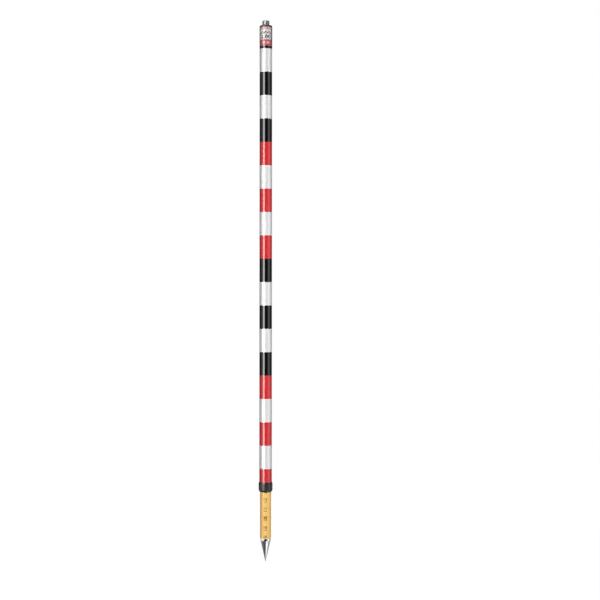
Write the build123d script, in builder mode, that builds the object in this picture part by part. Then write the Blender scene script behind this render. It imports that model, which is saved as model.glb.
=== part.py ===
from build123d import *
from math import acos, atan2, cos, hypot, pi, sin, sqrt
import os

# Survey prism pole, closed and locked: a banded tube that slides up over a graduated tube on a steel point.
# Millimetres, +Z up, the origin at the end of the point, the face of the scale towards -Y.

# Clearances: radial, apart from end_play, which lies along the pole
bond_gap = 0.02
running_gap = 0.05
thread_gap = 0.1
slide_gap = 0.3
end_play = 0.1

# Whole pole
foot_height = 150.0  # end of the point to the collar's lower edge
band_pitch = 50.0
bands_to_seat = 20  # band lengths from the collar's lower edge to the prism seat
bands_per_group = 5

# Point
cone_length = 45.0
cone_top_radius = 11.0
nose_radius = 0.6
shoulder_radius = 11.2
shoulder_length = 5.5
shoulder_break = 0.4
shank_radius = 6.0
shank_length = 22.0
tommy_hole_radius = 2.1

# Inner tube and its two plugs
inner_radius = 12.0
inner_wall = 1.2
socket_roof = 8.0  # over the shank's end
top_plug_length = 25.0

# Slide bush and what keeps it on
bush_length = 75.0
bush_lead = 1.0
spigot_radius = 8.0
washer_radius = 11.0
washer_thickness = 1.5
screw_radius = 3.0
screw_length = 18.0
screw_head_radius = 5.5
screw_head_height = 4.0
screw_socket_radius = 2.3  # to the corners of its hexagon
screw_socket_depth = 2.2

# Outer tube, its film bands and its label
outer_wall = 1.0
film_thickness = 0.18
film_end_gap = 0.5  # between the collar and the lowest band
label_thickness = 0.18
label_margin = 5.5  # black left bare under the label

# Head
flange_height = 4.0
flange_round = 0.4
plug_shank_length = 48.0
stud_radius = 5 / 8 * IN / 2
stud_reach = 11.2
stud_depth = 20.0
stud_lead = 1.2
stud_relief_depth = 1.1
stud_relief_reach = 1.0  # above and below the seat
seat_relief = 0.9
stud_pin_radius = 2.0
stud_pin_drop = 12.0  # below the seat
plug_pin_radius = 2.0
plug_pin_drop = 38.0  # below the seat
plug_pin_bite = 4.0
plug_pin_count = 3
bumper_height = 8.3
bumper_head_room = 1.5  # round the screw's head
bumper_roof_gap = 0.5  # over the screw's head

# Lock
collar_length = 21.0
collar_wall = 1.6
collar_lip = 3.0
collar_foot_land = 0.6
collar_foot_taper = 4.0
collar_top_chamfer = 0.6
collar_top_taper = 4.0
thrust_ring_height = 2.0
compression_ring_height = 8.0
compression_ring_split = 1.5

# Radii that follow
inner_bore = inner_radius - inner_wall
outer_bore = inner_radius + slide_gap
outer_radius = outer_bore + outer_wall
film_bore = outer_radius + bond_gap
film_radius = film_bore + film_thickness
label_bore = film_radius + bond_gap
label_radius = label_bore + label_thickness
bush_radius = outer_bore - running_gap
collar_mouth = inner_radius + slide_gap
collar_pocket = outer_radius + thread_gap
collar_radius = collar_pocket + collar_wall
collar_foot_radius = collar_mouth + collar_foot_land
collar_top_radius = collar_radius - collar_top_chamfer
plug_radius = outer_bore - bond_gap
bumper_bore = screw_head_radius + bumper_head_room
stud_relief_radius = stud_radius - stud_relief_depth

# Heights that follow
shoulder_top = cone_length + shoulder_length
tommy_hole_height = cone_length + shoulder_length / 2
shank_top = shoulder_top + shank_length
socket_bore_top = shank_top + end_play
lip_top = foot_height + collar_lip
thrust_top = lip_top + thrust_ring_height
tube_foot = thrust_top + compression_ring_height
collar_top = foot_height + collar_length
seat_height = foot_height + bands_to_seat * band_pitch
tube_top = seat_height - flange_height
plug_foot = tube_top - plug_shank_length
bumper_foot = plug_foot - bumper_height
washer_top = bumper_foot - end_play
washer_foot = washer_top - washer_thickness
bush_top = washer_foot - end_play
inner_top = bush_top - bush_length
pole_travel = inner_top - tube_foot
stud_foot = seat_height - stud_depth
stud_top = seat_height + stud_reach
stud_pin_height = seat_height - stud_pin_drop
plug_pin_height = seat_height - plug_pin_drop


def turn(*outline):
    """Turns a closed outline of radius and height about the pole's axis."""
    with BuildSketch(Plane.XZ) as profile:
        with BuildLine():
            Polyline(*outline, close=True)
        make_face()
    revolve(profile.sketch, axis=Axis.Z)


def tube(foot, top, radius, bore):
    """Adds a plain tube between two heights."""
    with BuildSketch(Plane.XY.offset(foot)) as section:
        Circle(radius)
        Circle(bore, mode=Mode.SUBTRACT)
    extrude(section.sketch, amount=top - foot)


def cross_rod(height, radius, reach, mode):
    """Adds or cuts a rod along X through the pole's axis."""
    with BuildSketch(Plane.YZ) as section:
        with Locations((0, height)):
            Circle(radius)
    extrude(section.sketch, amount=reach, both=True, mode=mode)


def plug_pin_rods(radius, end, mode):
    """Adds or cuts the ring of radial pins that join the head plug to the tube."""
    start = outer_bore - plug_pin_bite
    with Locations((0, 0, plug_pin_height)):
        with PolarLocations(start, plug_pin_count):
            Cylinder(
                radius,
                end - start,
                rotation=(0, 90, 0),
                align=(Align.CENTER, Align.CENTER, Align.MIN),
                mode=mode,
            )


def band_colour(place):
    """Colour of the band that many places below the seat: white between blacks, then white between reds."""
    group, step = divmod(place, bands_per_group)
    if step % 2:
        return "white"
    return "red" if group % 2 else "black"


def band_rings(colour):
    """Adds every film band of one colour, cut short at the head's flange and at the collar."""
    for place in range(bands_to_seat):
        if band_colour(place) == colour:
            top = seat_height - place * band_pitch
            foot = max(top - band_pitch, collar_top + film_end_gap)
            tube(foot, min(top, tube_top), film_radius, film_bore)


def nose_at(angle):
    """Point of the rounded nose, that angle round from its end."""
    return nose_radius * sin(angle), nose_radius * (1 - cos(angle))


# Steel point: a rounded nose tangent to the cone, a shoulder with its tommy bar hole, and the shank
nose_to_rim = hypot(cone_top_radius, cone_length - nose_radius)
cone_angle = acos(nose_radius / nose_to_rim) - atan2(cone_length - nose_radius, cone_top_radius)
nose_sweep = pi / 2 - cone_angle

with BuildPart() as tip_point:
    with BuildSketch(Plane.XZ):
        with BuildLine():
            ThreePointArc(nose_at(0), nose_at(nose_sweep / 2), nose_at(nose_sweep))
            Polyline(
                nose_at(nose_sweep),
                (cone_top_radius, cone_length),
                (shoulder_radius, cone_length + shoulder_break),
                (shoulder_radius, shoulder_top),
                (shank_radius, shoulder_top),
                (shank_radius, shank_top),
                (0, shank_top),
                nose_at(0),
            )
        make_face()
    revolve(axis=Axis.Z)
    with BuildSketch(Plane.XZ):
        with Locations((0, tommy_hole_height)):
            Circle(tommy_hole_radius)
    extrude(amount=shoulder_radius, both=True, mode=Mode.SUBTRACT)

# Tapped plug in the foot of the inner tube
with BuildPart() as tip_socket:
    turn(
        (shank_radius + bond_gap, shoulder_top),
        (inner_bore - bond_gap, shoulder_top),
        (inner_bore - bond_gap, socket_bore_top + socket_roof),
        (0, socket_bore_top + socket_roof),
        (0, socket_bore_top),
        (shank_radius + bond_gap, socket_bore_top),
    )

# Graduated inner tube
with BuildPart() as inner_tube:
    tube(shoulder_top, inner_top, inner_radius, inner_bore)

# Plug in the top of the inner tube, with the spigot that the slide bush turns on
with BuildPart() as top_plug:
    turn(
        (0, inner_top - top_plug_length),
        (inner_bore - bond_gap, inner_top - top_plug_length),
        (inner_bore - bond_gap, inner_top),
        (spigot_radius, inner_top),
        (spigot_radius, washer_foot),
        (screw_radius + bond_gap, washer_foot),
        (screw_radius + bond_gap, washer_top - screw_length - end_play),
        (0, washer_top - screw_length - end_play),
    )

# Washer and screw over the bush
with BuildPart() as bush_washer:
    tube(washer_foot, washer_top, washer_radius, screw_radius + bond_gap)

with BuildPart() as bush_screw:
    turn(
        (0, washer_top - screw_length),
        (screw_radius, washer_top - screw_length),
        (screw_radius, washer_top),
        (screw_head_radius, washer_top),
        (screw_head_radius, washer_top + screw_head_height),
        (0, washer_top + screw_head_height),
    )
    with BuildSketch(Plane.XY.offset(washer_top + screw_head_height)):
        RegularPolygon(screw_socket_radius, 6)
    extrude(amount=-screw_socket_depth, mode=Mode.SUBTRACT)

# Nylon bush that runs in the outer tube
with BuildPart() as slide_bush:
    tube(inner_top, bush_top, bush_radius, spigot_radius + running_gap)
    rims = slide_bush.edges().filter_by(GeomType.CIRCLE).group_by(SortBy.RADIUS)[-1]
    chamfer(rims.sort_by(Axis.Z)[-1], bush_lead)

# Outer tube, drilled for the plug pins
with BuildPart() as outer_tube:
    tube(tube_foot, tube_top, outer_radius, outer_bore)
    plug_pin_rods(plug_pin_radius + bond_gap, film_radius, Mode.SUBTRACT)

# Film bands, one node for each colour
with BuildPart() as white_bands:
    band_rings("white")

with BuildPart() as red_bands:
    band_rings("red")

with BuildPart() as black_bands:
    band_rings("black")

# Label round the top black band
with BuildPart() as head_label:
    tube(seat_height - band_pitch + label_margin, tube_top, label_radius, label_bore)

# Head plug: flange with the prism seat, bore for the stud, spigot for the bumper
with BuildPart() as head_plug:
    bumper_spigot = bumper_height - screw_head_height - bumper_roof_gap
    stud_bore = stud_radius + bond_gap
    turn(
        (0, plug_foot - bumper_spigot),
        (bumper_bore - bond_gap, plug_foot - bumper_spigot),
        (bumper_bore - bond_gap, plug_foot),
        (plug_radius, plug_foot),
        (plug_radius, tube_top),
        (film_radius, tube_top),
        (film_radius, seat_height),
        (stud_bore + seat_relief, seat_height),
        (stud_bore, seat_height - seat_relief),
        (stud_bore, stud_foot),
        (0, stud_foot),
    )
    seat_rims = head_plug.edges().filter_by(GeomType.CIRCLE).group_by(Axis.Z)[-1]
    fillet(seat_rims.sort_by(SortBy.RADIUS)[-1], flange_round)
    cross_rod(stud_pin_height, stud_pin_radius + bond_gap, outer_bore, Mode.SUBTRACT)
    plug_pin_rods(plug_pin_radius + bond_gap, film_radius, Mode.SUBTRACT)

# Threaded stud, at its full thread diameter, with the run-out groove at the seat
with BuildPart() as prism_stud:
    turn(
        (0, stud_foot),
        (stud_radius, stud_foot),
        (stud_radius, seat_height - stud_relief_reach),
        (stud_relief_radius, seat_height - stud_relief_reach),
        (stud_relief_radius, seat_height + stud_relief_reach),
        (stud_radius, seat_height + stud_relief_reach),
        (stud_radius, stud_top - stud_lead),
        (stud_radius - stud_lead, stud_top),
        (0, stud_top),
    )
    cross_rod(stud_pin_height, stud_pin_radius + bond_gap, outer_bore, Mode.SUBTRACT)

# Pins of the head, their flat ends just under the round walls that cover them
with BuildPart() as stud_pin:
    cross_rod(stud_pin_height, stud_pin_radius, sqrt(plug_radius**2 - stud_pin_radius**2), Mode.ADD)

with BuildPart() as plug_pins:
    plug_pin_rods(plug_pin_radius, sqrt(outer_radius**2 - plug_pin_radius**2), Mode.ADD)

# Rubber ring that the lower pole meets when the pole is closed
with BuildPart() as closing_bumper:
    tube(bumper_foot, plug_foot, outer_bore - slide_gap, bumper_bore)

# Lock: split gripping ring, slip ring and twist collar
with BuildPart() as compression_ring:
    tube(thrust_top, tube_foot, outer_radius, inner_radius + running_gap)
    with BuildSketch(Plane.XY.offset(thrust_top)):
        with Locations((0, inner_radius)):
            Rectangle(compression_ring_split, inner_radius)
    extrude(amount=compression_ring_height, mode=Mode.SUBTRACT)

with BuildPart() as thrust_ring:
    tube(lip_top, thrust_top, outer_radius, collar_mouth)

with BuildPart() as lock_collar:
    turn(
        (collar_mouth, foot_height),
        (collar_foot_radius, foot_height),
        (collar_radius, foot_height + collar_foot_taper),
        (collar_radius, collar_top - collar_top_taper),
        (collar_top_radius, collar_top),
        (collar_pocket, collar_top),
        (collar_pocket, lip_top),
        (collar_mouth, lip_top),
    )

pieces = {
    "tip_point": tip_point,
    "tip_socket": tip_socket,
    "inner_tube": inner_tube,
    "top_plug": top_plug,
    "bush_screw": bush_screw,
    "bush_washer": bush_washer,
    "slide_bush": slide_bush,
    "outer_tube": outer_tube,
    "white_bands": white_bands,
    "red_bands": red_bands,
    "black_bands": black_bands,
    "head_label": head_label,
    "head_plug": head_plug,
    "prism_stud": prism_stud,
    "stud_pin": stud_pin,
    "plug_pins": plug_pins,
    "closing_bumper": closing_bumper,
    "compression_ring": compression_ring,
    "thrust_ring": thrust_ring,
    "lock_collar": lock_collar,
}

os.makedirs("parts", exist_ok=True)
for name, piece in pieces.items():
    piece.part.label = name
    export_step(piece.part, f"parts/{name}.step")

print(f"closed height {seat_height:.2f} mm, travel {pole_travel:.2f} mm")
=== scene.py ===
"""Looks of a survey prism pole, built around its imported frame.

The banded upper pole, the yellow graduated lower pole, the steel point and the twist collar are smooth turned
meshes that stand for their plain nodes. What is hidden inside the pole keeps its node and gets a finish.
Metres, +Z up the pole, the face of the scale towards -Y.
"""

import logging
import math
from dataclasses import dataclass
from enum import Enum
from typing import Iterable, Sequence

import bmesh
import bpy
from mathutils import Matrix, Vector
from mathutils.geometry import delaunay_2d_cdt, intersect_line_line_2d


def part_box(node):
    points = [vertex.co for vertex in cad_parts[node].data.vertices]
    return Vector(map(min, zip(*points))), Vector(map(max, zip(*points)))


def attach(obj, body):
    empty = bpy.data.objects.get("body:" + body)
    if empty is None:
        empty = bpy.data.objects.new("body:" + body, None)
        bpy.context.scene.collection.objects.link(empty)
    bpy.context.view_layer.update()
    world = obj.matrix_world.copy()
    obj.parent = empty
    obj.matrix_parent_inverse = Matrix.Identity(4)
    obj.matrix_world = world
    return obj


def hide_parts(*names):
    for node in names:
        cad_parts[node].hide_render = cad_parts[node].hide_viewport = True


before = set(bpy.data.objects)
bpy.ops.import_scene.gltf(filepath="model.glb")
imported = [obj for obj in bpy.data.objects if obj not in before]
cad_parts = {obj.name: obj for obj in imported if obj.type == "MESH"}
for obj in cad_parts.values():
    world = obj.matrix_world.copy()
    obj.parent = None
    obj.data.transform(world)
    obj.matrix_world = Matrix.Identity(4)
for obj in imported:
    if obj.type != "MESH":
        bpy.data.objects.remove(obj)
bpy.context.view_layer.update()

LOG = logging.getLogger("prism_pole")

MM = 0.001
FULL_TURN = 2 * math.pi
AROUND = 128  # facets round a turned piece
HOLE_AROUND = 48  # facets round a drilled hole
BLOCK_POINTS = 10  # points across a block that is bent round the pole
SHARP_EDGE = math.radians(35)
HOLD = 1.5  # where the straight of a wall starts, in easings from its corner
EASED_SHARE = 0.45  # most of a wall that the easing of one corner takes up
HELD_SHARE = 0.49  # most of a wall that lies between a corner and the straight
AXIS = 1e-7  # a radius below this lies on the axis
ON_CUT = 1e-7  # points closer than this to a cut lie on it
SKIN = 0.01 * MM  # how far a dressed wall stays inside the node that it stands for
SAME_PLACE = 0.001 * MM  # points closer than this are one
SAME_CORNER = 0.004  # corners of a figure closer than this are one, in type sizes
HOLE_SHARE = 0.45  # how much of the room in a figure's hole its strokes may take when they are fattened
LOOP_REACH = 16  # how many edges of its rim a small loop may take up
OPEN_HOLES = 2  # output type of the fill that leaves the holes open
HEIGHT_DIGITS = 5  # decimals that tell the rims of the bands apart, in metres
MIX_FIRST, MIX_SECOND, MIX_RESULT = 6, 7, 2  # colour sockets of a Mix node
PRINT_SLICE = 0.7 * MM  # widest upright slice of a print that follows a round wall

Colour = tuple[float, float, float]
Point = tuple[float, float]
Span = tuple[float, float]
Corner = tuple[float, float, float]
Loop = list[Vector]
Socket = bpy.types.NodeSocket
Source = Socket | float


@dataclass(frozen=True)
class Grain:
    """A noise pattern: its changes per metre along X, Y and Z, its octaves and the stretch that counts."""

    per_metre: tuple[float, float, float]
    octaves: float = 3.0
    stretch: Span = (0.3, 0.7)


class Body(Enum):
    """Bodies of the frame that the pieces ride on."""

    LOWER_POLE = "lower_pole"
    UPPER_POLE = "upper_pole"
    COLLAR = "collar"


class ToolMark(Enum):
    """Which way the fine lines of a worked surface run."""

    TURNED = Grain((0, 0, 9000), octaves=4)
    DRAWN = Grain((2600, 2600, 14), octaves=4)


class CardTier(Enum):
    """Foot and top of a row of cards: beside the pole, at the floor's edge and under it."""

    ROOM = (-0.13, 2.4)
    FLOOR = (-0.6, -0.13)
    LOW = (-4.5, -0.6)


@dataclass(frozen=True)
class Place:
    """Where a node of the frame lies along the pole."""

    foot: float
    top: float
    radius: float

    @classmethod
    def of(cls, node: str) -> "Place":
        """Reads the place of one node from the frame."""
        low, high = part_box(node)
        return cls(low.z, high.z, high.x - SKIN)


class Bench:
    """A node tree in the making."""

    def __init__(self, tree: bpy.types.NodeTree) -> None:
        """Takes the tree that the nodes go into."""
        self.tree = tree

    def feed(self, socket: Socket, value: Source | tuple) -> None:
        """Links a socket to another, or sets its own value.

        Args:
            socket: The socket that is fed.
            value: Another socket, or a value. A colour gets full cover.
        """
        if isinstance(value, bpy.types.NodeSocket):
            self.tree.links.new(value, socket)
        elif socket.type == "RGBA":
            socket.default_value = (*value, 1.0)
        else:
            socket.default_value = value

    def node(self, kind: str, feeds: dict[str | int, Source | tuple], **settings: str) -> bpy.types.Node:
        """Adds a node.

        Args:
            kind: Type of the node.
            feeds: What goes into its sockets, by socket name or place.
            settings: Properties of the node itself.

        Returns:
            The node.
        """
        made = self.tree.nodes.new(kind)
        for label, value in settings.items():
            setattr(made, label, value)
        for socket, value in feeds.items():
            self.feed(made.inputs[socket], value)
        return made

    def made(self, kind: str, feeds: dict[str | int, Source | tuple], **settings: str) -> Socket:
        """Adds a node and gives its first result."""
        return self.node(kind, feeds, **settings).outputs[0]

    def math(self, operation: str, first: Source, second: Source = 0.0) -> Socket:
        """Adds a Math node and gives its result."""
        return self.made("ShaderNodeMath", {0: first, 1: second}, operation=operation)

    def held(self, value: Socket) -> Socket:
        """Holds a number between 0 and 1."""
        return self.math("MINIMUM", self.math("MAXIMUM", value, 0.0), 1.0)

    def split(self, place: Socket) -> tuple[Socket, ...]:
        """Gives X, Y and Z of a point."""
        return tuple(self.node("ShaderNodeSeparateXYZ", {0: place}).outputs)

    def spread(self, value: Socket, stretch: Span, values: Span = (0.0, 1.0), **settings: str) -> Socket:
        """Maps a stretch of a number to a range of values.

        Args:
            value: The number.
            stretch: Where the stretch starts and ends.
            values: Values at its start and its end.
            settings: Properties of the node itself.

        Returns:
            The mapped value, held at both ends.
        """
        feeds = dict(enumerate((value, *stretch, *values)))
        return self.made("ShaderNodeMapRange", feeds, **settings)

    def tone(self, factor: Socket, first: Colour | Socket, second: Colour | Socket) -> Socket:
        """Mixes two colours.

        Args:
            factor: Share of the second colour.
            first: Colour, or the socket of one.
            second: Colour, or the socket of one.

        Returns:
            The mixed colour's socket.
        """
        mixed = self.node("ShaderNodeMix", {"Factor": factor}, data_type="RGBA")
        self.feed(mixed.inputs[MIX_FIRST], first)
        self.feed(mixed.inputs[MIX_SECOND], second)
        return mixed.outputs[MIX_RESULT]

    def blend(self, factor: Socket, first: Socket, second: Socket) -> Socket:
        """Mixes two shaders."""
        return self.made("ShaderNodeMixShader", {0: factor, 1: first, 2: second})

    def glow(self, strength: float) -> Socket:
        """Adds an even white glow."""
        return self.made("ShaderNodeEmission", {"Strength": strength})

    def matt(self, grey: float) -> Socket:
        """Adds a matt grey."""
        return self.made("ShaderNodeBsdfDiffuse", {"Color": (grey, grey, grey)})

    def sight_ray(self) -> Socket:
        """Tells rays that show a surface, straight, mirrored or through glass, from those of its light.

        Returns:
            1 for a ray that shows the surface, else 0.
        """
        rays = self.node("ShaderNodeLightPath", {}).outputs
        mirrored = self.math("MAXIMUM", rays["Is Camera Ray"], rays["Is Glossy Ray"])
        return self.math("MAXIMUM", mirrored, rays["Is Transmission Ray"])


class Shade(Bench):
    """A material in the making: one Principled shader and the pattern nodes that feed it."""

    def __init__(self, name: str, settings: dict[str, float]) -> None:
        """Starts the material.

        Args:
            name: Name of the material.
            settings: Values of the shader's own sockets, by socket name.
        """
        self.material = bpy.data.materials.new(name)
        self.material.use_nodes = True
        super().__init__(self.material.node_tree)
        self.shader = self.tree.nodes["Principled BSDF"]
        for socket, value in settings.items():
            self.feed(self.shader.inputs[socket], value)
        self.place = self.node("ShaderNodeTexCoord", {}).outputs["Object"]

    def axes(self) -> tuple[Socket, ...]:
        """Gives X, Y and Z of the point on the piece."""
        return self.split(self.place)

    def noise(self, grain: Grain) -> Socket:
        """Adds a noise pattern.

        Args:
            grain: The pattern.

        Returns:
            Its plain values, about 0.3 to 0.7.
        """
        scaled = self.made("ShaderNodeMapping", {"Vector": self.place, "Scale": grain.per_metre})
        feeds = {"Vector": scaled, "Scale": 1.0, "Detail": grain.octaves}
        return self.made("ShaderNodeTexNoise", feeds)

    def pattern(self, grain: Grain, values: Span = (0.0, 1.0)) -> Socket:
        """Adds a noise pattern whose stretch is mapped to a range of values."""
        return self.spread(self.noise(grain), grain.stretch, values)

    def wear(self, height: Socket, depth: float) -> None:
        """Feeds a height pattern to the shader's normal, that many metres deep."""
        bump = self.made("ShaderNodeBump", {"Distance": depth, "Height": height})
        self.feed(self.shader.inputs["Normal"], bump)

    def paint(self, colour: Socket, roughness: Socket) -> bpy.types.Material:
        """Feeds colour and roughness to the shader.

        Args:
            colour: Colour of the surface.
            roughness: Its roughness.

        Returns:
            The finished material.
        """
        self.feed(self.shader.inputs["Base Color"], colour)
        self.feed(self.shader.inputs["Roughness"], roughness)
        return self.material


def dimmed(colour: Colour, share: float) -> Colour:
    """Gives a colour at a share of its brightness."""
    return tuple(channel * share for channel in colour)


@dataclass(frozen=True)
class GlossFilm:
    """Gloss film sleeve, rubbed and soiled at the ends of each band, with its weld down the back.

    A reflective film also has a hard clear face, whose index is high.
    """

    name: str
    colour: Colour
    soil: Colour
    shine: float = 0.5
    roughness: float = 0.05
    face: float = 0.0
    face_index: float = 1.95
    face_roughness: float = 0.06
    mottle: Grain = Grain((90, 90, 25))
    mottle_share: float = 0.95
    band_pitch: float = 50 * MM
    soiled_end: float = 1.1 * MM
    soil_share: float = 0.75
    rub: Grain = Grain((400, 400, 900), stretch=(0.4, 0.65))
    rub_roughness: float = 0.3
    weld_width: float = 0.5 * MM
    weld_soil: float = 0.35
    weld_rise: float = 4.0
    streak: Grain = Grain((1500, 1500, 12), octaves=4, stretch=(0.35, 0.7))
    streak_roughness: float = 0.05
    peel: Grain = Grain((650, 650, 420), octaves=1)
    peel_depth: float = 0.002 * MM

    def material(self) -> bpy.types.Material:
        """Makes the film's material.

        Returns:
            The material.
        """
        settings = {
            "Specular IOR Level": self.shine,
            "Coat Weight": self.face,
            "Coat IOR": self.face_index,
            "Coat Roughness": self.face_roughness,
        }
        shade = Shade(self.name, settings)
        across, away, height = shade.axes()
        film = shade.tone(shade.pattern(self.mottle), dimmed(self.colour, self.mottle_share), self.colour)
        from_end = shade.math("PINGPONG", height, self.band_pitch / 2)
        rubbed = shade.spread(from_end, (0.0, self.soiled_end), (self.soil_share, 0.0))
        patchy = shade.math("MULTIPLY", rubbed, shade.pattern(self.rub))
        soiled = shade.tone(patchy, film, self.soil)
        near_weld = shade.spread(shade.math("ABSOLUTE", across), (0.0, self.weld_width / 2), (1.0, 0.0))
        weld = shade.math("MULTIPLY", near_weld, shade.math("GREATER_THAN", away, 0.0))
        colour = shade.tone(shade.math("MULTIPLY", weld, self.weld_soil), soiled, self.soil)
        rise = shade.math("MULTIPLY", weld, self.weld_rise)
        shade.wear(shade.math("SUBTRACT", shade.noise(self.peel), rise), self.peel_depth)
        streaks = shade.pattern(self.streak, (self.roughness, self.roughness + self.streak_roughness))
        dull = shade.math("MULTIPLY", patchy, self.rub_roughness)
        return shade.paint(colour, shade.math("ADD", streaks, dull))


@dataclass(frozen=True)
class ScaleCoat:
    """Satin yellow coat of the graduated tube, with faint lines where the lock has slid along it."""

    name: str = "scale_yellow_coat"
    colour: Colour = (0.91, 0.555, 0.145)
    rubbed: Colour = (0.84, 0.54, 0.18)
    shine: float = 0.6
    cloud: Grain = Grain((45, 45, 20))
    cloud_share: float = 0.95
    lines: Grain = Grain((2200, 2200, 9), octaves=4, stretch=(0.3, 0.75))
    line_depth: float = 0.004 * MM
    rub_stretch: Span = (0.6, 0.75)
    rub_share: float = 0.7
    roughness: Span = (0.3, 0.46)

    def material(self) -> bpy.types.Material:
        """Makes the coat's material.

        Returns:
            The material.
        """
        shade = Shade(self.name, {"Specular IOR Level": self.shine})
        lines = shade.noise(self.lines)
        coat = shade.tone(shade.pattern(self.cloud), dimmed(self.colour, self.cloud_share), self.colour)
        colour = shade.tone(shade.spread(lines, self.rub_stretch, (0.0, self.rub_share)), coat, self.rubbed)
        shade.wear(lines, self.line_depth)
        return shade.paint(colour, shade.spread(lines, self.lines.stretch, self.roughness))


@dataclass(frozen=True)
class CrossHole:
    """A hole along Y: its drilled wall is rougher, and painted shade darkens its colour."""

    height: float
    radius: float
    # painted shade: near black, standing in for the shade inside the hole
    colour: Colour = (0.015, 0.013, 0.012)
    roughness: float = 0.75

    def dull(self, shade: Shade, colour: Socket, roughness: Socket) -> tuple[Socket, Socket]:
        """Paints shade inside the hole: darkens the finish there and makes its wall rougher.

        Args:
            shade: The finish in the making.
            colour: Its colour elsewhere.
            roughness: Its roughness elsewhere.

        Returns:
            Colour and roughness with the hole.
        """
        across, _, height = shade.axes()
        upward = shade.math("SUBTRACT", height, self.height)
        squared = shade.math("ADD", shade.math("POWER", across, 2.0), shade.math("POWER", upward, 2.0))
        # mask of the hole, where the painted shade goes
        inside = shade.math("LESS_THAN", squared, self.radius**2)
        extra = shade.math("MULTIPLY", shade.math("SUBTRACT", self.roughness, roughness), inside)
        return shade.tone(inside, colour, self.colour), shade.math("ADD", roughness, extra)


@dataclass(frozen=True)
class WorkedMetal:
    """Bare or plated metal with the fine lines of its turning or drawing."""

    name: str
    colour: Colour
    roughness: float
    mark: ToolMark = ToolMark.TURNED
    hole: CrossHole | None = None
    mark_depth: float = 0.003 * MM
    mark_swing: float = 0.25
    stain: Grain = Grain((160, 160, 160), octaves=4, stretch=(0.35, 0.7))
    stain_share: float = 0.86
    stain_roughness: float = 0.05

    def material(self) -> bpy.types.Material:
        """Makes the metal's material.

        Returns:
            The material.
        """
        shade = Shade(self.name, {"Metallic": 1.0})
        lines = shade.noise(self.mark.value)
        stain = shade.pattern(self.stain)
        colour = shade.tone(stain, self.colour, dimmed(self.colour, self.stain_share))
        shade.wear(lines, self.mark_depth)
        swing = self.roughness * (1 - self.mark_swing), self.roughness * (1 + self.mark_swing)
        rough = shade.spread(lines, self.mark.value.stretch, swing)
        rough = shade.math("ADD", rough, shade.math("MULTIPLY", stain, self.stain_roughness))
        # the tommy bar hole gets painted shade and a rougher wall
        if self.hole:
            colour, rough = self.hole.dull(shade, colour, rough)
        return shade.paint(colour, rough)


@dataclass(frozen=True)
class MouldedPolymer:
    """Moulded or machined polymer with a fine grain, and duller where hands or neighbours rub it."""

    name: str
    colour: Colour
    rubbed: Colour
    roughness: float
    shine: float = 0.5
    grain: Grain = Grain((2400, 2400, 2400), octaves=2)
    grain_depth: float = 0.01 * MM
    cloud: Grain = Grain((180, 180, 110), octaves=4, stretch=(0.4, 0.7))
    cloud_roughness: float = 0.1

    def material(self) -> bpy.types.Material:
        """Makes the polymer's material.

        Returns:
            The material.
        """
        shade = Shade(self.name, {"Specular IOR Level": self.shine})
        cloud = shade.pattern(self.cloud)
        shade.wear(shade.noise(self.grain), self.grain_depth)
        rough = shade.spread(cloud, (0.0, 1.0), (self.roughness, self.roughness + self.cloud_roughness))
        return shade.paint(shade.tone(cloud, self.colour, self.rubbed), rough)


@dataclass(frozen=True)
class PrintInk:
    """Printed ink, a little uneven in its cover."""

    name: str
    colour: Colour
    thin: Colour
    shine: float = 0.2
    cover: Grain = Grain((900, 900, 900), stretch=(0.45, 0.75))
    roughness: Span = (0.34, 0.5)

    def material(self) -> bpy.types.Material:
        """Makes the ink's material.

        Returns:
            The material.
        """
        shade = Shade(self.name, {"Specular IOR Level": self.shine})
        cover = shade.pattern(self.cover)
        rough = shade.spread(cover, (0.0, 1.0), self.roughness)
        return shade.paint(shade.tone(cover, self.colour, self.thin), rough)


@dataclass(frozen=True)
class LabelPaper:
    """Laminated label: a red field all round, over it white and pale panels in front and behind, and black at
    the sides above the red, which is painted shade for the label's edges.
    """

    foot: float
    white_foot: float
    pale_foot: float
    half_panel: float
    name: str = "label_laminate"
    # painted shade: the black at the label's sides stands in for the shade at its edges
    black: Colour = (0.02, 0.012, 0.012)
    red: Colour = (0.38, 0.066, 0.075)
    white: Colour = (0.70, 0.68, 0.67)
    pale: Colour = (0.52, 0.37, 0.36)
    grime: Colour = (0.3, 0.27, 0.26)
    shine: float = 0.55
    print_fade: float = 0.25 * MM
    dust: Grain = Grain((500, 500, 500), octaves=4, stretch=(0.45, 0.8))
    dust_share: float = 0.25
    soiled_foot: float = 1.5 * MM
    soil_share: float = 0.3
    grime_stretch: Span = (0.0, 0.5)
    roughness: Span = (0.3, 0.45)
    peel: Grain = Grain((700, 700, 500), octaves=1)
    peel_depth: float = 0.004 * MM

    def past(self, shade: Shade, value: Socket, edge: float) -> Socket:
        """Gives 1 past the edge of a printed field or of the painted shade at the sides, and 0 before it."""
        return shade.spread(value, (edge, edge + self.print_fade))

    def material(self) -> bpy.types.Material:
        """Makes the label's material.

        Returns:
            The material.
        """
        shade = Shade(self.name, {"Specular IOR Level": self.shine})
        across, _, height = shade.axes()
        middle = shade.tone(self.past(shade, height, self.pale_foot), self.white, self.pale)
        # painted shade: black past the panels' half width, at the label's sides
        aside = self.past(shade, shade.math("ABSOLUTE", across), self.half_panel)
        panel_with_painted_shade = shade.tone(aside, middle, self.black)
        fields = shade.tone(self.past(shade, height, self.white_foot), self.red, panel_with_painted_shade)
        rise = shade.spread(height, (self.foot, self.foot + self.soiled_foot), (self.soil_share, 0.0))
        grime = shade.math("ADD", shade.pattern(self.dust, (0.0, self.dust_share)), rise)
        shade.wear(shade.noise(self.peel), self.peel_depth)
        rough = shade.spread(grime, self.grime_stretch, self.roughness)
        return shade.paint(shade.tone(grime, fields, self.grime), rough)


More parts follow.
